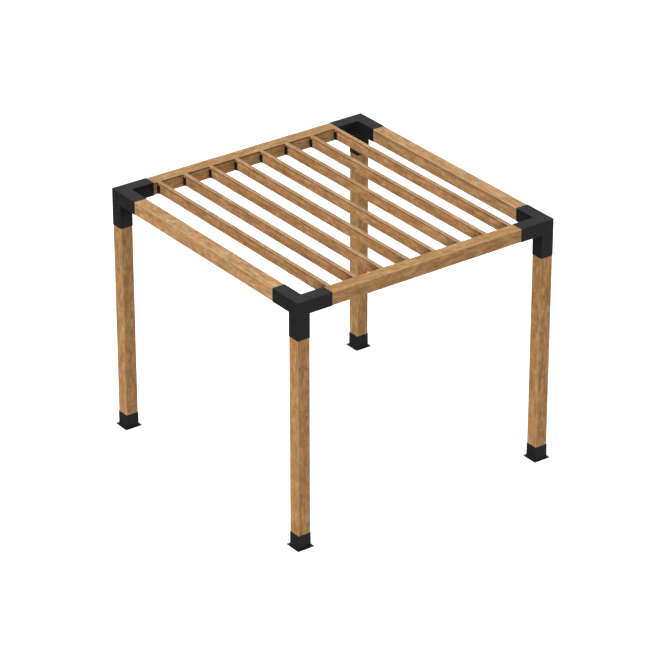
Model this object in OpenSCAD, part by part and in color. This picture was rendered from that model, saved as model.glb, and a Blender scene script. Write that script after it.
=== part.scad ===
// Garden pergola. Four square posts and a level ring of four square beams are held together
// by steel corner brackets with three sleeves each. Steel bases carry the posts, and a roof
// of deep rafters hangs between the front and back beams in steel shoes.
// Millimetres, +Z up. The origin is on the ground at the middle of the frame. The front is
// on -Y, the left on -X. The rafters run along Y and are spaced along X.

/* [Overall size] */
// Width over the corner brackets, across the rafters
frame_w = 3120; // [2400:10:4200]
// Depth over the corner brackets, along the rafters
frame_d = 3180; // [2400:10:4200]
// Height from the ground to the top of the corner brackets
frame_h = 2700; // [2100:10:3300]

/* [Posts and beams] */
// Side of the square timber of posts and beams
timber = 140; // [90:1:200]
// Radius of the timber's eased long edges
timber_edge = 4; // [1:0.5:8]

/* [Rafters] */
// Number of rafters
rafter_count = 8; // [2:1:10]
// Thickness of a rafter
rafter_t = 40; // [25:1:60]
// Depth of a rafter, less than the beams' timber
rafter_h = 120; // [80:1:140]
// Radius of a rafter's eased long edges
rafter_edge = 3; // [1:0.5:6]
// Space between the left brackets' arms and the first rafter
left_gap = 45; // [5:1:150]
// Space between the last rafter and the right brackets' arms
right_gap = 5; // [5:1:150]

/* [Corner brackets] */
// Length of an arm, from the bracket's outer corner
arm = 408; // [260:1:600]
// Length of the leg, from the bracket's top
leg = 403; // [260:1:600]
// Wall of the bracket's tubes and cap
bracket_wall = 2; // [1.5:0.5:5]

/* [Post bases] */
// Height of the sleeve's top above the ground
base_h = 155; // [80:1:300]
// Wall of the sleeve
base_wall = 2; // [1.5:0.5:5]
// How far the plate reaches beyond the sleeve on each side
plate_overhang = 25; // [22:1:60]
// Thickness of the plate
plate_t = 4; // [3:0.5:12]
// Radius of an anchor hole
anchor_r = 5.5; // [4:0.5:6.5]
// Distance of an anchor hole's centre from the plate's edges
anchor_inset = 13; // [11:0.5:16]

/* [Rafter shoes] */
// Length of the shoe along the rafter
shoe_l = 50; // [30:1:90]
// How far the shoe's cheeks stop below the rafter's top
shoe_drop = 30; // [10:1:50]
// Thickness of the shoe's steel
shoe_wall = 2.5; // [1.5:0.5:4]

/* [Clearances] */
// Room between the timber and a bracket or base, on each side
sleeve_clearance = 0.5; // [0.2:0.1:2]
// Room between a rafter and each cheek of its shoe
shoe_clearance = 0.5; // [0.2:0.1:2]

/* [Hidden] */
steel = [0.12, 0.12, 0.13];
wood = [0.72, 0.52, 0.33];
rafter_wood = [0.66, 0.46, 0.28];
cut = 1; // how far a cutting solid runs past the face that it opens
arc_fn = 48;

// Tubes of the brackets and bases, around the timber
bracket_inner = timber + 2 * sleeve_clearance;
bracket_outer = bracket_inner + 2 * bracket_wall;
base_inner = timber + 2 * sleeve_clearance;
base_outer = base_inner + 2 * base_wall;
plate = base_outer + 2 * plate_overhang;
anchor_pos = plate / 2 - anchor_inset;

// Faces of the timber in the ring of beams
ring_inset = bracket_outer / 2; // from the frame's outside to the middle of posts and beams
ring_top = frame_h - bracket_wall - sleeve_clearance;
ring_z = ring_top - timber / 2;
inner_face_y = frame_d / 2 - ring_inset - timber / 2; // of the front and back beams

// Rafters, level with the top of the ring
rafter_l = 2 * (inner_face_y - shoe_wall);
first_rafter_x = -frame_w / 2 + arm + left_gap + rafter_t / 2;
last_rafter_x = frame_w / 2 - arm - right_gap - rafter_t / 2;
rafter_pitch = (last_rafter_x - first_rafter_x) / (rafter_count - 1);

// Each corner: its name, the signs of X and Y there, and the bracket's turn about Z
CORNERS = [
    ["front_left", -1, -1, 0],
    ["front_right", 1, -1, 90],
    ["back_right", 1, 1, 180],
    ["back_left", -1, 1, 270]
];

function rafter_x(i) = first_rafter_x + (i - 1) * rafter_pitch;

// A w by h rectangle around the origin with corners of radius r
module eased_rectangle(w, h, r) {
    square([w - 2 * r, h], center = true);
    square([w, h - 2 * r], center = true);
    for (x = [-1, 1], y = [-1, 1])
        translate([x * (w / 2 - r), y * (h / 2 - r)])
            circle(r, $fn = arc_fn);
}

// A bar of length l along Z, centred on the origin, with eased long edges
module bar(w, h, l, r) {
    linear_extrude(l, center = true)
        eased_rectangle(w, h, r);
}

// A post, from its base plate up to the cap of the corner bracket
module post(corner) {
    post_l = frame_h - bracket_wall - plate_t;
    color(wood)
        at_post(corner)
            translate([0, 0, plate_t + post_l / 2])
                bar(timber, timber, post_l, timber_edge);
}

// A beam of the front or back, along X between two leg tubes
module beam_along_x(side) {
    color(wood)
        translate([0, side * (frame_d / 2 - ring_inset), ring_z])
            rotate([0, 90, 0])
                bar(timber, timber, frame_w - 2 * bracket_outer, timber_edge);
}

// A beam of the left or right side, along Y between two leg tubes
module beam_along_y(side) {
    color(wood)
        translate([side * (frame_w / 2 - ring_inset), 0, ring_z])
            rotate([90, 0, 0])
                bar(timber, timber, frame_d - 2 * bracket_outer, timber_edge);
}

// Rafter i, between the back plates of its two shoes
module rafter(i) {
    color(rafter_wood)
        translate([rafter_x(i), 0, ring_top - rafter_h / 2])
            rotate([90, 0, 0])
                bar(rafter_t, rafter_h, rafter_l, rafter_edge);
}

// Welded corner bracket: a capped tube down over the post, and an arm tube over each beam,
// closed by the leg tube's wall, which is the beam's stop
module corner_bracket(corner) {
    color(steel)
        at_frame_corner(corner)
            translate([0, 0, frame_h])
                difference() {
                    union() {
                        translate([0, 0, -leg])
                            cube([bracket_outer, bracket_outer, leg]);
                        translate([0, 0, -bracket_outer])
                            cube([arm, bracket_outer, bracket_outer]);
                        translate([0, 0, -bracket_outer])
                            cube([bracket_outer, arm, bracket_outer]);
                    }
                    translate([bracket_wall, bracket_wall, -leg - cut])
                        cube([bracket_inner, bracket_inner, leg - bracket_wall + cut]);
                    translate([bracket_outer, bracket_wall, bracket_wall - bracket_outer])
                        cube([arm - bracket_outer + cut, bracket_inner, bracket_inner]);
                    translate([bracket_wall, bracket_outer, bracket_wall - bracket_outer])
                        cube([bracket_inner, arm - bracket_outer + cut, bracket_inner]);
                }
}

// Welded post base: a plate with an anchor hole at each corner, and a sleeve for the post,
// which stands on the plate
module post_base(corner) {
    color(steel)
        at_post(corner)
            difference() {
                union() {
                    translate([-plate / 2, -plate / 2, 0])
                        cube([plate, plate, plate_t]);
                    translate([-base_outer / 2, -base_outer / 2, 0])
                        cube([base_outer, base_outer, base_h]);
                }
                translate([-base_inner / 2, -base_inner / 2, plate_t])
                    cube([base_inner, base_inner, base_h - plate_t + cut]);
                for (x = [-1, 1], y = [-1, 1])
                    translate([x * anchor_pos, y * anchor_pos, -cut])
                        cylinder(plate_t + 2 * cut, r = anchor_r, $fn = arc_fn);
            }
}

// Shoe of rafter i: a back plate on the beam's inner face, two cheeks and a seat
module rafter_shoe(side, i) {
    half_w = rafter_t / 2 + shoe_clearance + shoe_wall;
    seat_z = ring_top - rafter_h - shoe_wall;
    shoe_h = rafter_h + shoe_wall - shoe_drop;
    color(steel)
        translate([rafter_x(i), side * inner_face_y, seat_z])
            rotate([0, 0, side > 0 ? 180 : 0])
                difference() {
                    translate([-half_w, 0, 0])
                        cube([2 * half_w, shoe_l, shoe_h]);
                    translate([shoe_wall - half_w, shoe_wall, shoe_wall])
                        cube([2 * (half_w - shoe_wall), shoe_l, shoe_h]);
                }
}

// Puts its children, drawn around the origin, on the axis of the corner's post
module at_post(corner) {
    translate([corner[1] * (frame_w / 2 - ring_inset), corner[2] * (frame_d / 2 - ring_inset), 0])
        children();
}

// Puts its children, drawn with their arms along +X and +Y, at the frame's outer corner
module at_frame_corner(corner) {
    translate([corner[1] * frame_w / 2, corner[2] * frame_d / 2, 0])
        rotate([0, 0, corner[3]])
            children();
}

for (c = CORNERS) {
    post(c);
    corner_bracket(c);
    post_base(c);
}
beam_along_x(-1);  // beam_front
beam_along_x(1);  // beam_back
beam_along_y(-1);  // beam_left
beam_along_y(1);  // beam_right
for (i = [1:rafter_count]) {
    rafter(i);
    rafter_shoe(-1, i);
    rafter_shoe(1, i);
}
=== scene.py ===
"""Looks of the garden pergola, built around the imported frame. Metres, +Z up, front on -Y."""

import math
import random
from collections import namedtuple

import bmesh
import bpy
from mathutils import Matrix, Vector


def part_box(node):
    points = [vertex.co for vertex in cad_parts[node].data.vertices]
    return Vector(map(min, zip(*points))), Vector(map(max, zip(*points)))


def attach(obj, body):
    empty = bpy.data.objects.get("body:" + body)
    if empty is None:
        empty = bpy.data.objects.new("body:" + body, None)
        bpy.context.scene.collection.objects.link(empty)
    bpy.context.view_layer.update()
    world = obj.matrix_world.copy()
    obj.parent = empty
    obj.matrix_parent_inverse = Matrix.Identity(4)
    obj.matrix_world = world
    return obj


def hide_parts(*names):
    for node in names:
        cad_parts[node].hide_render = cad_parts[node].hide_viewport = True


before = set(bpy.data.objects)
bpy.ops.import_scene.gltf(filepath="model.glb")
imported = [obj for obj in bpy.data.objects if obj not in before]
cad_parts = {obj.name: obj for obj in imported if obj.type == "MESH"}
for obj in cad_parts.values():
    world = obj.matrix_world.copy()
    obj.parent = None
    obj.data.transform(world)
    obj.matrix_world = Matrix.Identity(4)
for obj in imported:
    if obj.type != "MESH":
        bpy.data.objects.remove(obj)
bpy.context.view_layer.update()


def paint(red, green, blue):
    """A display colour, 0 to 255 a channel, as the linear colour that shaders take."""
    def linear(level):
        share = level / 255
        return share / 12.92 if share <= 0.04045 else ((share + 0.055) / 1.055) ** 2.4
    return (linear(red), linear(green), linear(blue), 1)


MM = 0.001
BODY = "root"
UP = Vector((0, 0, 1))
CORNERS = {
    "front_left": (-1, -1),
    "front_right": (1, -1),
    "back_right": (1, 1),
    "back_left": (-1, 1),
}
STEEL_PREFIXES = ("corner_bracket_", "post_base_", "rafter_shoe_")

# Timber
POST_EDGE = 4 * MM          # radius of the eased edges of posts and beams
RAFTER_EDGE = 3 * MM        # radius of the eased edges of rafters
SLOW_WAVE = (0.16, 7.3)     # waves of that radius: share of it, and radians a metre
QUICK_WAVE = (0.08, 31)
END_EDGE = 1 * MM           # chamfer at a timber's ends
STATION = 60 * MM           # distance between a timber's cross-sections
ARC_STEPS = 4               # faces round an eased edge
WEAR_AND_HIGHLIGHT_STRIP = 7 * MM         # from an eased edge to where its wear and painted highlight have faded out
SEED = 31
GRAIN_SHIFT = (3, 90)       # metres along the noise at which a timber's grain may start
BOXED_PITH = (-25, 25)      # millimetres from a post's or beam's middle to its pith
RAFTER_PITH = (45, 90)      # the same for rafters, to one side or the other
RAFTER_PITH_RISE = (-40, 40)
TONE = 0.015                # most that chance makes a timber lighter or darker
PALE = {                    # and what is added to that for timbers that differ in the photo
    # Painted light: post_front_right is lifted against the shade the roof casts on its inner side
    "post_front_right": 0.045,
    "post_back_left": -0.015,
    "beam_right": 0.02,
    "beam_front": 0.015,
}

# Painted shade in a band below the upper edges of sides: depth to which it is full, and for each
# kind of timber its strength and the depth at which it has faded out
BAND_FULL = 13 * MM
NO_BAND = (0.0, 27 * MM)
RAFTER_BAND = (1.0, 27 * MM)
CROSS_BEAM_BAND = (1.4, 27 * MM)
SIDE_BEAM_BAND = (0.9, 62 * MM)
PAINTED_END_SHADOW = 1.6             # strength of the painted shadow at a rafter's front end, where the front beam shades it
END_REACH = 220 * MM        # how far from the end it reaches

# Wood's colours, with a tint for upper faces that is painted light
HONEY = {
    "light": paint(191, 151, 106),
    "dark": paint(170, 127, 81),
    "warm": paint(192, 133, 79),
    "olive": paint(168, 135, 82),
    "painted_top_light": (0.91, 0.94, 0.97, 1),
}
TAN = {
    "light": paint(190, 145, 98),
    "dark": paint(166, 119, 73),
    "warm": paint(184, 126, 76),
    "olive": paint(158, 125, 77),
    "painted_top_light": (0.80, 0.95, 1.19, 1),
}
GRIZZLE = paint(142, 121, 94)
KNOT_RIM = paint(140, 92, 50)
KNOT_HEART = paint(84, 54, 34)
# Colour of eased edges: partly wear, partly a painted highlight
WEAR_AND_HIGHLIGHT = paint(200, 166, 124)
WARMTH = (0.91, 0.87, 0.77, 1)
TIMBER_GLOSS = 0.3

# Knots
KNOT_CELL = 0.21            # typical distance between knots, in metres
KNOT_SCALE = 0.7            # their pattern's scale along the timber: below 1 spreads it out
KNOT_SMALL = 5 * MM         # radius of the smallest and the largest knots
KNOT_LARGE = 15 * MM
KNOT_PICK = (0.25, 1.0)     # random share up to which a knot is smallest, and where it's largest
KNOT_FADE = (1.0, 0.5)      # in knot radii, from outside the knot to well inside it
HALO_FADE = (4.5, 0.8)      # the same for the grain swept round it
HALO_SWEEP = 14 * MM        # how far rings are swept aside at a knot
HALO_SHARE = 0.25           # of the rim's colour
HEART_SHARE = 0.75          # of the heart's colour

# Growth rings
RING = 7 * MM               # width
RING_SWAY = 0.09            # how far they wander, in metres
LATE_POWER = 3.0            # how sharply the dark latewood begins
LATE_END = (1.0, 0.88)      # share of a ring over which it ends
EARLY_SHADE = 1.06
LATE_SHADE = -0.38          # added to that in the latewood

# Noises of the wood: scale across the timber and along it, where more is finer, detail, roughness
WANDER = (4.0, 1.6, 3.0, 0.55)
VAGUE = (9.0, 4.0, 2.0, 0.5)
FIBRE = (210.0, 6.0, 3.0, 0.6)
STREAK = (75.0, 5.0, 3.0, 0.65)
BROAD = (22.0, 3.4, 3.0, 0.55)
MOTTLE = (27.0, 14.0, 3.0, 0.6)
PATCH = (20.0, 6.0, 3.0, 0.5)
CURL = (16.0, 42.0, 2.0, 0.5)
FLECK = (34.0, 4.5, 3.0, 0.6)
PATCH_AT = (5, 3, 9)        # shifts in the noise, so that these two don't match the others
FLECK_AT = (2, 8, 4)

# A noise's low and high value, and what they give: shares, shades and roughness, 0 to 1 if unsaid
LATE_SHARE = (0.35, 0.62, 0.3, 1.0)
STREAK_SHADE = (0.3, 0.7, 1.16, 0.84)
MOTTLE_SHADE = (0.3, 0.7, 0.83, 1.17)
FIBRE_SHADE = (0.25, 0.75, 1.11, 0.89)
CURL_SHADE = (0.3, 0.7, 1.07, 0.93)
BAND_SHARE = (0.3, 0.7, 0.54 - 0.06, 0.54 + 0.06)
DARK_SHARE = (0.34, 0.66)
WARM_SHARE = (0.50, 0.64, 0.0, 0.75)
OLIVE_SHARE = (0.47, 0.30, 0.0, 0.45)
GRIZZLE_SHARE = (0.56, 0.74, 0.0, 0.28)
WEAR_AND_HIGHLIGHT_SHARE = (0.35, 0.65, 0.20, 0.55)
TIMBER_ROUGHNESS = (0.2, 0.8, 0.58, 0.74)

# Relief of the wood
LATE_HEIGHT = 0.45
FIBRE_HEIGHT = 0.5
KNOT_HEIGHT = 0.8
RELIEF = 0.35 * MM
RELIEF_STRENGTH = 0.7

# Steel's finishes: colour, roughness and depth of the peel
COAT = (paint(22, 22, 23), 0.5, 0.03 * MM)
SCREW_FINISH = (paint(14, 14, 15), 0.42, 0.01 * MM)
STEEL_GLOSS = 0.25
CLOUD = (11.0, 4.0, 0.6)    # noises: scale, detail, roughness
SPECK = (900.0, 2.0, 0.6)
PEEL = (420.0, 2.0, 0.5)
PEEL_STRENGTH = 0.6
CLOUD_SPAN = (0.3, 0.7)
CLOUD_SHADE = (0.68, 1.32)
CLOUD_ROUGHNESS = (-0.08, 0.10)
SPECK_SHADE = (0.35, 0.7, 0.9, 1.15)
NOOK_SHADE_SHARE = 0.75           # painted shade: how much darker the coat is painted in brackets' inner corners and on plates
NOOK_HEIGHT = 0.6           # share of a bracket's height above which its arms are
PLATE_FACES = 6 * MM        # a base's faces below this are its plate's

# Steel's shapes
FOLD = 1.6 * MM             # radius of outer edges
FOLD_STEPS = 3
RIM_SHARE = 0.25            # share of that radius on the rims of sheets and tubes
RIM_AREA = 0.0015           # a face smaller than this, in square metres, is a rim
SHARP = math.radians(60)    # an edge sharper than this is rounded
FLAT = math.radians(1)      # faces that differ less than this are one face
MERGE = 0.01 * MM           # corners closer than this are one corner
SLEEVE = 2.5 * MM           # from a post's face to the outside of its base's sleeve

# Weld beads
WELD = 3.5 * MM             # leg
RIPPLE = 2.4 * MM           # distance between ripples
RIPPLE_STEPS = 4
BEAD_STEPS = 5              # faces round a bead
WELD_START = 2 * MM         # from the bracket's outside to a bead
WELD_STOP = 0.4 * MM        # from the inside corner to the beads that meet there
WELD_END = 0.4              # share of the leg at a bead's ends
VALLEY, CREST = 0.86, 0.14  # share of the leg between ripples, and what a ripple adds
WAIST, CHEEK = 0.72, 0.28   # the same for the hollow in the middle of a bead's face

# Screws
HEAD_R = 11 * MM            # washer head of the brackets' and bases' screws
HEAD_H = 5 * MM
SMALL_HEAD_R = 5.5 * MM     # pan head of the shoes' screws
SMALL_HEAD_H = 3 * MM
SCREW_INSET = 34 * MM       # of a screw's axis from the tube's edges
SCREW_ROW = 55 * MM         # distance between the rows on a bracket
BASE_SCREW_ROWS = (0.38, 0.72)   # shares of the sleeve's height
SHOE_SCREW_ROWS = (0.28, 0.74)   # shares of the shoe's height
HEAD_SIDES = 36
LOBES = 6
LOBE = 0.16                 # depth of the recess's lobes, as a share of its radius
# A head from its foot to its recess's floor: shares of radius and height, depth of lobes
HEAD_PROFILE = (
    (1.0, 0.0, 0), (1.0, 0.16, 0), (0.96, 0.24, 0),
    (0.66, 0.34, 0), (0.60, 0.82, 0), (0.54, 0.97, 0), (0.48, 1.0, 0),
    (0.36, 0.98, LOBE), (0.3384, 0.4, LOBE),
)

# Studio
LOW_SKY_Z = -0.19           # below this the sky has its lowest strength
LOW_SKY = 0.24
TOP_SKY = 1.17
# Name, strength, degrees across, degrees from the left towards the front, degrees of rise
LAMPS = (
    ("key", 1.5, 75, 8, 38),
    ("side_fill", 0.55, 60, 4, 6),
    ("front_fill", 0.42, 55, 126, -25),
)
FLOOR_GLOW = 0.45           # keeps the floor even around the bases
FLOOR_COLOUR = (0.9, 0.9, 0.9, 1)
FLOOR_CELLS = 8
FLOOR_REACH = 200
WHITE = (1, 1, 1, 1)

# Photo's viewpoint
AZIMUTH = -36.381
ELEVATION = 27.481
DISTANCE = 36.41
FOCAL_LENGTH = 192.85       # millimetres, as is the sensor's width
SENSOR_WIDTH = 36
LOOK_AT = Vector((0.166, 0.198, 1.115))
CLIP_END = 500


# ---------------------------------------------------------------- materials

class Nodes:
    """Short calls that add shader nodes to one material and link them."""

    def __init__(self, name):
        self.material = bpy.data.materials.new(name)
        self.material.use_nodes = True
        self.tree = self.material.node_tree
        self.tree.nodes.clear()
        self.shader = self.tree.nodes.new("ShaderNodeBsdfPrincipled")
        output = self.tree.nodes.new("ShaderNodeOutputMaterial")
        self.tree.links.new(self.shader.outputs[0], output.inputs[0])

    def feed(self, socket, value):
        if isinstance(value, bpy.types.NodeSocket):
            self.tree.links.new(value, socket)
        else:
            socket.default_value = value

    def add(self, kind, output, inputs, **settings):
        node = self.tree.nodes.new(kind)
        for key, value in settings.items():
            setattr(node, key, value)
        for key, value in inputs.items():
            self.feed(node.inputs[key], value)
        return node.outputs[output]

    def attribute(self, name, output="Fac"):
        return self.add("ShaderNodeAttribute", output, {}, attribute_name=name)

    def vector(self, operation, a, b, c=(0, 0, 0), output=0):
        inputs = {0: a, 1: b, 2: c}
        return self.add("ShaderNodeVectorMath", output, inputs, operation=operation)

    def maths(self, operation, a, b=0.0, c=0.0):
        return self.add("ShaderNodeMath", 0, {0: a, 1: b, 2: c}, operation=operation)

    def noise(self, vector, scale, detail, rough, output="Fac"):
        inputs = {"Vector": vector, "Scale": scale, "Detail": detail, "Roughness": rough}
        return self.add("ShaderNodeTexNoise", output, inputs)

    def figure(self, grain, across, along, detail, rough, output="Fac"):
        """Noise in the wood, of different sizes across the timber and along it."""
        scaled = self.vector("MULTIPLY", grain, (across, across, along))
        return self.noise(scaled, 1.0, detail, rough, output)

    def fade(self, value, low, high, to_low=0.0, to_high=1.0):
        """Smoothly from to_low, where value is low, to to_high, where it is high."""
        inputs = {
            "Value": value, "From Min": low, "From Max": high, "To Min": to_low, "To Max": to_high,
        }
        return self.add("ShaderNodeMapRange", 0, inputs, interpolation_type="SMOOTHSTEP")

    def mix(self, share, a, b, blend="MIX"):
        node = self.tree.nodes.new("ShaderNodeMix")
        node.data_type = "RGBA"
        node.blend_type = blend
        self.feed(node.inputs["Factor"], share)
        self.feed(node.inputs[6], a)
        self.feed(node.inputs[7], b)
        return node.outputs[2]

    def darken(self, colour, shade):
        grey = self.add("ShaderNodeCombineColor", 0, {0: shade, 1: shade, 2: shade})
        return self.mix(1.0, colour, grey, "MULTIPLY")

    def bump(self, height, distance, strength):
        inputs = {"Height": height, "Distance": distance, "Strength": strength}
        return self.add("ShaderNodeBump", 0, inputs)


def timber_material(name, colours):
    """Sawn softwood: growth rings round a wandering pith, fibres, knots and patches, with painted
    shade and light.

    The grain attribute holds a point's place across the timber from its pith, and along it."""
    n = Nodes(name)
    grain = n.attribute("grain", "Vector")
    arris, band, sky = (n.attribute(key) for key in ("arris", "band", "sky"))
    tone, warmth = (n.attribute(key) for key in ("tone", "warmth"))

    # Knots are balls in the timber that its faces cut, with the grain swept round them
    voronoi = n.tree.nodes.new("ShaderNodeTexVoronoi")
    scaled = n.vector("MULTIPLY", grain, (1.0, 1.0, KNOT_SCALE))
    n.feed(voronoi.inputs["Vector"], scaled)
    n.feed(voronoi.inputs["Scale"], 1 / KNOT_CELL)
    reach = n.maths("MULTIPLY", voronoi.outputs["Distance"], KNOT_CELL)
    pick = n.add("ShaderNodeSeparateColor", 0, {0: voronoi.outputs["Color"]})
    size = n.fade(pick, *KNOT_PICK, KNOT_SMALL, KNOT_LARGE)
    nearness = n.maths("DIVIDE", reach, size)
    knot = n.fade(nearness, *KNOT_FADE)
    halo = n.fade(nearness, *HALO_FADE)

    # Rings, wavy along the timber and swept round the knots
    wander = n.figure(grain, *WANDER, output="Color")
    bent = n.vector("MULTIPLY_ADD", wander, (RING_SWAY, RING_SWAY, 0), grain)
    across = n.vector("MULTIPLY", bent, (1, 1, 0))
    radius = n.vector("LENGTH", across, (0, 0, 0), output="Value")
    swept = n.maths("MULTIPLY_ADD", halo, HALO_SWEEP, radius)
    ring = n.maths("FRACT", n.maths("DIVIDE", swept, RING))
    late = n.maths("MULTIPLY", n.maths("POWER", ring, LATE_POWER), n.fade(ring, *LATE_END))
    late = n.maths("MULTIPLY", late, n.fade(n.figure(grain, *VAGUE), *LATE_SHARE))

    # Fibres, streaks and flecks run along the grain, mottling and curl across it
    fibre = n.figure(bent, *FIBRE)
    streak = n.figure(bent, *STREAK)
    broad = n.figure(bent, *BROAD)
    mottle = n.figure(grain, *MOTTLE)
    patch = n.figure(n.vector("ADD", bent, PATCH_AT), *PATCH)
    curl = n.figure(bent, *CURL)
    fleck = n.figure(n.vector("ADD", bent, FLECK_AT), *FLECK)

    colour = n.mix(n.fade(broad, *DARK_SHARE), colours["light"], colours["dark"])
    colour = n.mix(n.fade(patch, *WARM_SHARE), colour, colours["warm"])
    colour = n.mix(n.fade(mottle, *OLIVE_SHARE), colour, colours["olive"])
    colour = n.mix(n.fade(fleck, *GRIZZLE_SHARE), colour, GRIZZLE)

    # Painted shade: a band below sides' upper edges and a shadow at rafters' front ends, broken up
    # by streaks
    painted_shade = n.maths("MULTIPLY", band, n.fade(streak, *BAND_SHARE))
    shade = n.maths("MULTIPLY_ADD", late, LATE_SHADE, EARLY_SHADE)
    for factor in (
        n.fade(streak, *STREAK_SHADE),
        n.fade(mottle, *MOTTLE_SHADE),
        n.fade(fibre, *FIBRE_SHADE),
        n.fade(curl, *CURL_SHADE),
        n.maths("ADD", tone, 1.0),
        n.maths("SUBTRACT", 1.0, painted_shade),
    ):
        shade = n.maths("MULTIPLY", shade, factor)
    colour = n.darken(colour, shade)
    colour = n.mix(warmth, colour, n.mix(1.0, colour, WARMTH, "MULTIPLY"))
    # Painted light: upper faces take their own tint for the light that falls on them
    colour = n.mix(sky, colour, n.mix(1.0, colour, colours["painted_top_light"], "MULTIPLY"))
    colour = n.mix(n.maths("MULTIPLY", halo, HALO_SHARE), colour, KNOT_RIM)
    colour = n.mix(n.maths("MULTIPLY", knot, HEART_SHARE), colour, KNOT_HEART)
    # Lighter edges: partly wear, partly a painted highlight
    wear_and_highlight = n.maths("MULTIPLY", arris, n.fade(streak, *WEAR_AND_HIGHLIGHT_SHARE))
    colour = n.mix(wear_and_highlight, colour, WEAR_AND_HIGHLIGHT)

    height = n.maths("MULTIPLY_ADD", late, LATE_HEIGHT, n.maths("MULTIPLY", fibre, FIBRE_HEIGHT))
    height = n.maths("ADD", height, n.maths("MULTIPLY", knot, KNOT_HEIGHT))
    n.feed(n.shader.inputs["Base Color"], colour)
    n.feed(n.shader.inputs["Roughness"], n.fade(fibre, *TIMBER_ROUGHNESS))
    n.feed(n.shader.inputs["Normal"], n.bump(height, RELIEF, RELIEF_STRENGTH))
    n.shader.inputs["Specular IOR Level"].default_value = TIMBER_GLOSS
    return n.material


def steel_material(name, colour, rough, peel):
    """Matt black finish on steel: fine peel, faint cloudiness, and painted shade in nooks."""
    n = Nodes(name)
    place = n.add("ShaderNodeTexCoord", "Object", {})
    cloud = n.noise(place, *CLOUD)
    shade = n.fade(cloud, *CLOUD_SPAN, *CLOUD_SHADE)
    shade = n.maths("MULTIPLY", shade, n.fade(n.noise(place, *SPECK), *SPECK_SHADE))
    # Painted shade in brackets' inner corners and on bases' plates
    painted_nook_shade = n.maths("MULTIPLY", n.attribute("painted_nook_shade"), NOOK_SHADE_SHARE)
    shade = n.maths("MULTIPLY", shade, n.maths("SUBTRACT", 1.0, painted_nook_shade))
    low, high = CLOUD_ROUGHNESS
    n.feed(n.shader.inputs["Base Color"], n.darken(colour, shade))
    n.feed(n.shader.inputs["Roughness"], n.fade(cloud, *CLOUD_SPAN, rough + low, rough + high))
    n.feed(n.shader.inputs["Normal"], n.bump(n.noise(place, *PEEL), peel, PEEL_STRENGTH))
    n.shader.inputs["Specular IOR Level"].default_value = STEEL_GLOSS
    return n.material


# ---------------------------------------------------------------- mesh helpers

def as_piece(mesh, name, material):
    """An object for the mesh that rides on the frame."""
    piece = bpy.data.objects.new(name, mesh)
    bpy.context.scene.collection.objects.link(piece)
    mesh.materials.append(material)
    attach(piece, BODY)
    return piece


def mesh_of(bm, name):
    """Turns the bmesh into a smooth-shaded mesh."""
    bmesh.ops.recalc_face_normals(bm, faces=bm.faces)
    for face in bm.faces:
        face.smooth = True
    mesh = bpy.data.meshes.new(name)
    bm.to_mesh(mesh)
    bm.free()
    return mesh


def keep_flats(piece):
    """Weights normals by face area, so that flat faces stay flat beside rounded edges."""
    modifier = piece.modifiers.new("Flat faces", "WEIGHTED_NORMAL")
    modifier.weight = 100
    modifier.keep_sharp = True


def skin(bm, rings):
    """Faces between rings of as many vertices, and over the first and last ring."""
    count = len(rings[0])
    for first, second in zip(rings, rings[1:]):
        for i in range(count):
            j = (i + 1) % count
            bm.faces.new((first[i], first[j], second[j], second[i]))
    bm.faces.new(rings[0])
    bm.faces.new(rings[-1])


# ---------------------------------------------------------------- timber

# Each kind lists the sides, 1 and -1 across the timber, that have painted shade below their upper
# edge. Level timbers have an upper face, open to the sky, which gets a tint of painted light.
Kind = namedtuple("Kind", "axis edge slot level stained band end_stain warmth")
KINDS = {
    "post_": Kind(2, POST_EDGE, "frame_timber", False, (), NO_BAND, 0.0, 1.0),
    "beam_front": Kind(0, POST_EDGE, "frame_timber", True, (1,), CROSS_BEAM_BAND, 0.0, 1.0),
    "beam_back": Kind(0, POST_EDGE, "frame_timber", True, (-1,), CROSS_BEAM_BAND, 0.0, 1.0),
    "beam_left": Kind(1, POST_EDGE, "frame_timber", True, (1,), SIDE_BEAM_BAND, 0.0, 0.0),
    "beam_right": Kind(1, POST_EDGE, "frame_timber", True, (-1,), SIDE_BEAM_BAND, 0.0, 0.0),
    "rafter_": Kind(1, RAFTER_EDGE, "rafter_timber", True, (1, -1), RAFTER_BAND, PAINTED_END_SHADOW, 0.0),
}


def section(half_u, half_v, radius, kind):
    """Points round an eased rectangle: place, share of edge wear and painted highlight, strength
    of painted shade, share of upper face with painted light.
    """
    strength, fades_out = kind.band
    points = []
    for turn, (su, sv) in enumerate([(1, 1), (-1, 1), (-1, -1), (1, -1)]):
        centre = Vector((su * (half_u - radius), sv * (half_v - radius)))
        arc = []
        for step in range(ARC_STEPS + 1):
            angle = math.pi / 2 * (turn + step / ARC_STEPS)
            arc.append(centre + radius * Vector((math.cos(angle), math.sin(angle))))
        before = Vector((-math.sin(math.pi / 2 * turn), math.cos(math.pi / 2 * turn)))
        after = Vector((math.cos(math.pi / 2 * turn), math.sin(math.pi / 2 * turn)))
        dark = strength if su in kind.stained else 0.0
        sky = 1.0 if sv > 0 and kind.level else 0.0
        faded = (Vector((su * half_u, half_v - fades_out)), 0.0, 0.0, 0.0)
        full = (Vector((su * half_u, half_v - BAND_FULL)), 0.0, dark, 0.0)

        # The first corner begins on the side with u above 0, the second ends on the other side
        begins, ends = turn == 0, turn == 1
        if begins:
            points += [faded, full]
        edge = arc[0] - WEAR_AND_HIGHLIGHT_STRIP * before
        points.append((edge, 0.0, dark if begins else 0.0, sky if ends else 0.0))
        for step, point in enumerate(arc):
            up = step / ARC_STEPS if begins else 1 - step / ARC_STEPS
            points.append((point, 1.0, 0.0, sky * up))
        edge = arc[-1] - WEAR_AND_HIGHLIGHT_STRIP * after
        points.append((edge, 0.0, dark if ends else 0.0, sky if begins else 0.0))
        if ends:
            points += [full, faded]
    return points


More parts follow.
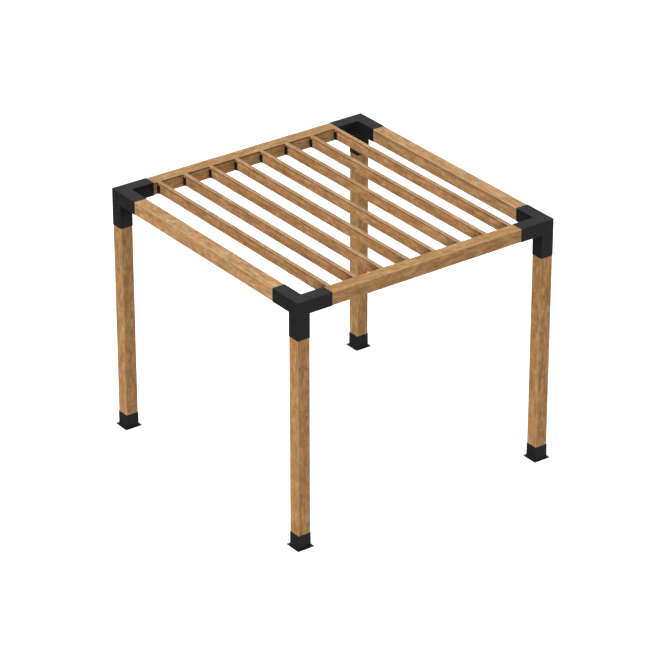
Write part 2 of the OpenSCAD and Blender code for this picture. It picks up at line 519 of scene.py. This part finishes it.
def timber(node, kind, pith, material, rng):
    """A sawn timber in place of the node, with its grain and its painted shade and light written
    on its mesh.
    """
    lo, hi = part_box(node)
    centre, size = (lo + hi) / 2, hi - lo
    axis = kind.axis
    u_axis, v_axis = [i for i in range(3) if i != axis]
    half_u, half_v, length = size[u_axis] / 2, size[v_axis] / 2, size[axis]
    stations = max(2, round(length / STATION))
    places = [0.0, END_EDGE] + [length * i / stations for i in range(1, stations)]
    places += [length - END_EDGE, length]
    shift = rng.uniform(*GRAIN_SHIFT)
    phase = rng.uniform(0, math.tau)
    tone = rng.uniform(-TONE, TONE) + PALE.get(node, 0.0)

    bm = bmesh.new()
    grain = bm.verts.layers.float_vector.new("grain")
    keys = ("arris", "band", "sky", "tone", "warmth")
    layers = [bm.verts.layers.float.new(key) for key in keys]
    rings = []
    for place in places:
        inset = END_EDGE if place in (0.0, length) else 0.0
        slow = SLOW_WAVE[0] * math.sin(SLOW_WAVE[1] * place + phase)
        quick = QUICK_WAVE[0] * math.sin(QUICK_WAVE[1] * place)
        radius = kind.edge * (1 + slow + quick)
        ring = []
        for (u, v), wear_and_highlight, dark, sky in section(half_u - inset, half_v - inset, radius, kind):
            co = Vector(centre)
            co[u_axis] += u
            co[v_axis] += v
            co[axis] += place - length / 2
            vertex = bm.verts.new(co)
            vertex[grain] = Vector((u - pith[0], v - pith[1], place + shift))
            # Painted shadow of the front beam on a rafter's sides near its front end
            if not wear_and_highlight and not sky:
                dark = max(dark, kind.end_stain * (1 - place / END_REACH))
            for layer, value in zip(layers, (wear_and_highlight, dark, sky, tone, kind.warmth)):
                vertex[layer] = value
            ring.append(vertex)
        rings.append(ring)
    skin(bm, rings)
    name = node + "_timber"
    piece = as_piece(mesh_of(bm, name), name, material)
    keep_flats(piece)
    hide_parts(node)


def all_timbers():
    """Posts and beams with boxed heart, and rafters sawn from outside the heart."""
    materials = {
        "frame_timber": timber_material("honey_timber", HONEY),
        "rafter_timber": timber_material("rafter_timber", TAN),
    }
    rng = random.Random(SEED)
    for node in sorted(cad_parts):
        pith = [rng.uniform(*BOXED_PITH) * MM for _ in range(2)]
        if node.startswith(STEEL_PREFIXES):
            continue
        kind = next(kind for prefix, kind in KINDS.items() if node.startswith(prefix))
        if node.startswith("rafter_"):
            side = rng.choice((-1, 1))
            across = side * rng.uniform(*RAFTER_PITH) * MM
            pith = (across, rng.uniform(*RAFTER_PITH_RISE) * MM)
        timber(node, kind, pith, materials[kind.slot], rng)


# ---------------------------------------------------------------- steel

def in_nook(node, face):
    """Whether a face gets painted shade: on a base's plate, or on an arm's side towards the
    frame's middle.
    """
    lo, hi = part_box(node)
    if node.startswith("post_base_"):
        return face.center.z < lo.z + PLATE_FACES
    if not node.startswith("corner_bracket_"):
        return False
    on_arm = face.center.z > lo.z + NOOK_HEIGHT * (hi.z - lo.z)
    return on_arm and face.normal.xy.dot((lo + hi).xy) < 0


def steel_piece(node, material):
    """A copy of the node's mesh with its outer edges, folds and rims rounded."""
    bm = bmesh.new()
    bm.from_mesh(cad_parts[node].data)
    bmesh.ops.remove_doubles(bm, verts=bm.verts, dist=MERGE)
    bmesh.ops.dissolve_limit(bm, angle_limit=FLAT, verts=bm.verts, edges=bm.edges)
    weight = bm.edges.layers.float.new("bevel_weight_edge")
    for edge in bm.edges:
        if len(edge.link_faces) == 2 and edge.calc_face_angle_signed() > SHARP:
            small = min(face.calc_area() for face in edge.link_faces)
            edge[weight] = RIM_SHARE if small < RIM_AREA else 1.0
    mesh = mesh_of(bm, node + "_steel")
    if mesh.attributes.get("custom_normal"):
        mesh.attributes.remove(mesh.attributes["custom_normal"])
    mesh.materials.clear()
    # Painted shade: faces in a bracket's inner corner and on a base's plate
    painted_nook_shade = mesh.attributes.new("painted_nook_shade", "FLOAT", "FACE")
    for face, item in zip(mesh.polygons, painted_nook_shade.data):
        item.value = float(in_nook(node, face))
    piece = as_piece(mesh, node + "_steel", material)
    bevel = piece.modifiers.new("Rounded edges", "BEVEL")
    bevel.width = FOLD
    bevel.segments = FOLD_STEPS
    bevel.limit_method = "WEIGHT"
    bevel.use_clamp_overlap = True
    keep_flats(piece)
    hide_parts(node)


def weld(bm, start, end, side, rise):
    """A rippled bead along the inside corner from start to end, between the two directions."""
    along = end - start
    steps = max(RIPPLE_STEPS, round(along.length / (RIPPLE / RIPPLE_STEPS)))
    rings = []
    for i in range(steps + 1):
        place = start + along * (i / steps)
        leg = WELD * (VALLEY + CREST * abs(math.sin(math.pi * i / RIPPLE_STEPS)))
        if i in (0, steps):
            leg *= WELD_END
        ring = [bm.verts.new(place)]
        for k in range(BEAD_STEPS + 1):
            angle = math.pi / 2 * k / BEAD_STEPS
            bulge = WAIST + CHEEK * abs(math.cos(2 * angle))
            offset = side * math.cos(angle) + rise * math.sin(angle)
            ring.append(bm.verts.new(place + offset * leg * bulge))
        rings.append(ring)
    skin(bm, rings)


def screw(bm, place, outward, radius, height):
    """A washer-head screw with a six-lobed recess, standing on a face at place."""
    turn = outward.to_track_quat("Z", "Y").to_matrix().to_4x4()
    at = Matrix.Translation(place) @ turn
    rings = []
    for reach, level, lobe in HEAD_PROFILE:
        ring = []
        for i in range(HEAD_SIDES):
            angle = math.tau * i / HEAD_SIDES
            r = reach * radius * (1 + lobe * math.cos(LOBES * angle))
            point = Vector((r * math.cos(angle), r * math.sin(angle), level * height))
            ring.append(bm.verts.new(at @ point))
        rings.append(ring)
    skin(bm, rings)


def finish_welds(bm, name, coat):
    as_piece(mesh_of(bm, name), name, coat)


def finish_screws(bm, name, black):
    keep_flats(as_piece(mesh_of(bm, name), name, black))


def bracket_fixings(corner, signs, coat, black):
    """Weld beads and screws of a corner bracket, on its faces towards the frame's middle."""
    lo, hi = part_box("corner_bracket_" + corner)
    post_lo, post_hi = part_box("post_" + corner)
    sx, sy = signs
    outer = Vector((hi.x if sx > 0 else lo.x, hi.y if sy > 0 else lo.y, hi.z))
    wall = abs(outer.x - (post_hi.x if sx > 0 else post_lo.x))
    tube = post_hi.x - post_lo.x + 2 * wall
    to_x, to_y = Vector((-sx, 0, 0)), Vector((0, -sy, 0))
    inner = outer + tube * (to_x + to_y)          # inside corner of the two arms, at the top
    under = inner - tube * UP                     # the same corner below the arms
    arm, leg = hi.x - lo.x, hi.z - lo.z

    bm = bmesh.new()
    weld(bm, inner - WELD_START * UP, under + WELD_STOP * UP, to_x, to_y)
    weld(bm, under + (WELD_START - tube) * to_y, under - WELD_STOP * to_y, to_x, -UP)
    weld(bm, under + (WELD_START - tube) * to_x, under - WELD_STOP * to_x, to_y, -UP)
    finish_welds(bm, "bracket_welds_" + corner, coat)

    bm = bmesh.new()
    for out, along in ((to_x, to_y), (to_y, to_x)):
        face = outer + tube * out
        for column in (SCREW_INSET, tube - SCREW_INSET):
            for row in (-SCREW_ROW, 0, SCREW_ROW):
                on_leg = face + column * along - ((tube + leg) / 2 + row) * UP
                on_arm = face + ((tube + arm) / 2 + row) * along - column * UP
                screw(bm, on_leg, out, HEAD_R, HEAD_H)
                screw(bm, on_arm, out, HEAD_R, HEAD_H)
    finish_screws(bm, "bracket_screws_" + corner, black)


def base_fixings(corner, signs, coat, black):
    """Weld round the foot of a base's sleeve, and screws on its faces towards the middle."""
    lo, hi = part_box("post_base_" + corner)
    post_lo, post_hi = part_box("post_" + corner)
    sx, sy = signs
    plate_top = post_lo.z
    half = (post_hi.x - post_lo.x) / 2 + SLEEVE
    middle = Vector(((lo.x + hi.x) / 2, (lo.y + hi.y) / 2, plate_top))

    bm = bmesh.new()
    for out in (Vector((1, 0, 0)), Vector((0, 1, 0)), Vector((-1, 0, 0)), Vector((0, -1, 0))):
        along = UP.cross(out)
        foot = middle + half * out
        weld(bm, foot - half * along, foot + half * along, out, UP)
    finish_welds(bm, "base_welds_" + corner, coat)

    bm = bmesh.new()
    reach = half - SCREW_INSET
    for out in (Vector((-sx, 0, 0)), Vector((0, -sy, 0))):
        along = UP.cross(out)
        for share in BASE_SCREW_ROWS:
            row = share * (hi.z - plate_top) * UP
            for offset in (-reach, reach):
                screw(bm, middle + half * out + offset * along + row, out, HEAD_R, HEAD_H)
    finish_screws(bm, "base_screws_" + corner, black)


def shoe_screws(node, black):
    """Screws through both cheeks of a rafter shoe."""
    lo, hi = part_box(node)
    bm = bmesh.new()
    for side, face_x in ((-1, lo.x), (1, hi.x)):
        for share in SHOE_SCREW_ROWS:
            place = Vector((face_x, (lo.y + hi.y) / 2, lo.z + share * (hi.z - lo.z)))
            screw(bm, place, Vector((side, 0, 0)), SMALL_HEAD_R, SMALL_HEAD_H)
    finish_screws(bm, node + "_screws", black)


def all_steel():
    """Brackets, bases and shoes with their welds and screws."""
    coat = steel_material("black_powder_coat", *COAT)
    black = steel_material("black_screw_finish", *SCREW_FINISH)
    for node in sorted(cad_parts):
        if node.startswith(STEEL_PREFIXES):
            steel_piece(node, coat)
        if node.startswith("rafter_shoe_"):
            shoe_screws(node, black)
    for corner, signs in CORNERS.items():
        bracket_fixings(corner, signs, coat, black)
        base_fixings(corner, signs, coat, black)


# ---------------------------------------------------------------- stage

def make_floor():
    """A wide, pale, even floor. Only the camera sees it, so light also comes from below."""
    n = Nodes("pale_floor")
    n.shader.inputs["Base Color"].default_value = FLOOR_COLOUR
    n.shader.inputs["Roughness"].default_value = 1.0
    n.shader.inputs["Specular IOR Level"].default_value = 0.0
    n.shader.inputs["Emission Color"].default_value = WHITE
    n.shader.inputs["Emission Strength"].default_value = FLOOR_GLOW
    bm = bmesh.new()
    bmesh.ops.create_grid(bm, x_segments=FLOOR_CELLS, y_segments=FLOOR_CELLS, size=FLOOR_REACH)
    mesh = bpy.data.meshes.new("floor")
    bm.to_mesh(mesh)
    bm.free()
    mesh.materials.append(n.material)
    floor = bpy.data.objects.new("floor", mesh)
    bpy.context.scene.collection.objects.link(floor)
    floor.visible_diffuse = False
    floor.visible_glossy = False
    floor.visible_shadow = False


def make_light():
    """A studio sky, white to the camera and brightest overhead, and very soft lamps."""
    world = bpy.data.worlds.new("studio")
    bpy.context.scene.world = world
    world.use_nodes = True
    tree = world.node_tree
    place = tree.nodes.new("ShaderNodeTexCoord")
    split = tree.nodes.new("ShaderNodeSeparateXYZ")
    level = tree.nodes.new("ShaderNodeMapRange")
    tree.links.new(place.outputs["Generated"], split.inputs[0])
    tree.links.new(split.outputs["Z"], level.inputs["Value"])
    level.inputs["From Min"].default_value = LOW_SKY_Z
    level.inputs["From Max"].default_value = 1.0
    level.inputs["To Min"].default_value = LOW_SKY
    level.inputs["To Max"].default_value = TOP_SKY
    seen = tree.nodes.new("ShaderNodeLightPath")
    strength = tree.nodes.new("ShaderNodeMath")
    strength.operation = "MAXIMUM"
    tree.links.new(level.outputs[0], strength.inputs[0])
    tree.links.new(seen.outputs["Is Camera Ray"], strength.inputs[1])
    tree.links.new(strength.outputs[0], tree.nodes["Background"].inputs["Strength"])
    tree.nodes["Background"].inputs["Color"].default_value = WHITE

    for name, energy, width, turn, rise in LAMPS:
        lamp = bpy.data.lights.new(name, "SUN")
        lamp.energy = energy
        lamp.angle = math.radians(width)
        sun = bpy.data.objects.new(name, lamp)
        bpy.context.scene.collection.objects.link(sun)
        turn, rise = math.radians(turn), math.radians(rise)
        flat = -Vector((math.cos(turn), math.sin(turn), 0))
        toward = math.cos(rise) * flat + math.sin(rise) * UP
        sun.rotation_euler = toward.to_track_quat("Z", "Y").to_euler()


def make_camera():
    """A long lens at the photo's viewing angle."""
    azimuth, elevation = math.radians(AZIMUTH), math.radians(ELEVATION)
    back = Vector((
        math.sin(azimuth) * math.cos(elevation),
        -math.cos(azimuth) * math.cos(elevation),
        math.sin(elevation),
    ))
    data = bpy.data.cameras.new("camera")
    data.lens = FOCAL_LENGTH
    data.sensor_width = SENSOR_WIDTH
    data.clip_end = CLIP_END
    camera = bpy.data.objects.new("camera", data)
    bpy.context.scene.collection.objects.link(camera)
    camera.location = LOOK_AT + DISTANCE * back
    camera.rotation_euler = back.to_track_quat("Z", "Y").to_euler()
    bpy.context.scene.camera = camera


make_camera()
make_light()
make_floor()
all_timbers()
all_steel()
bpy.context.scene.view_settings.view_transform = "Standard"
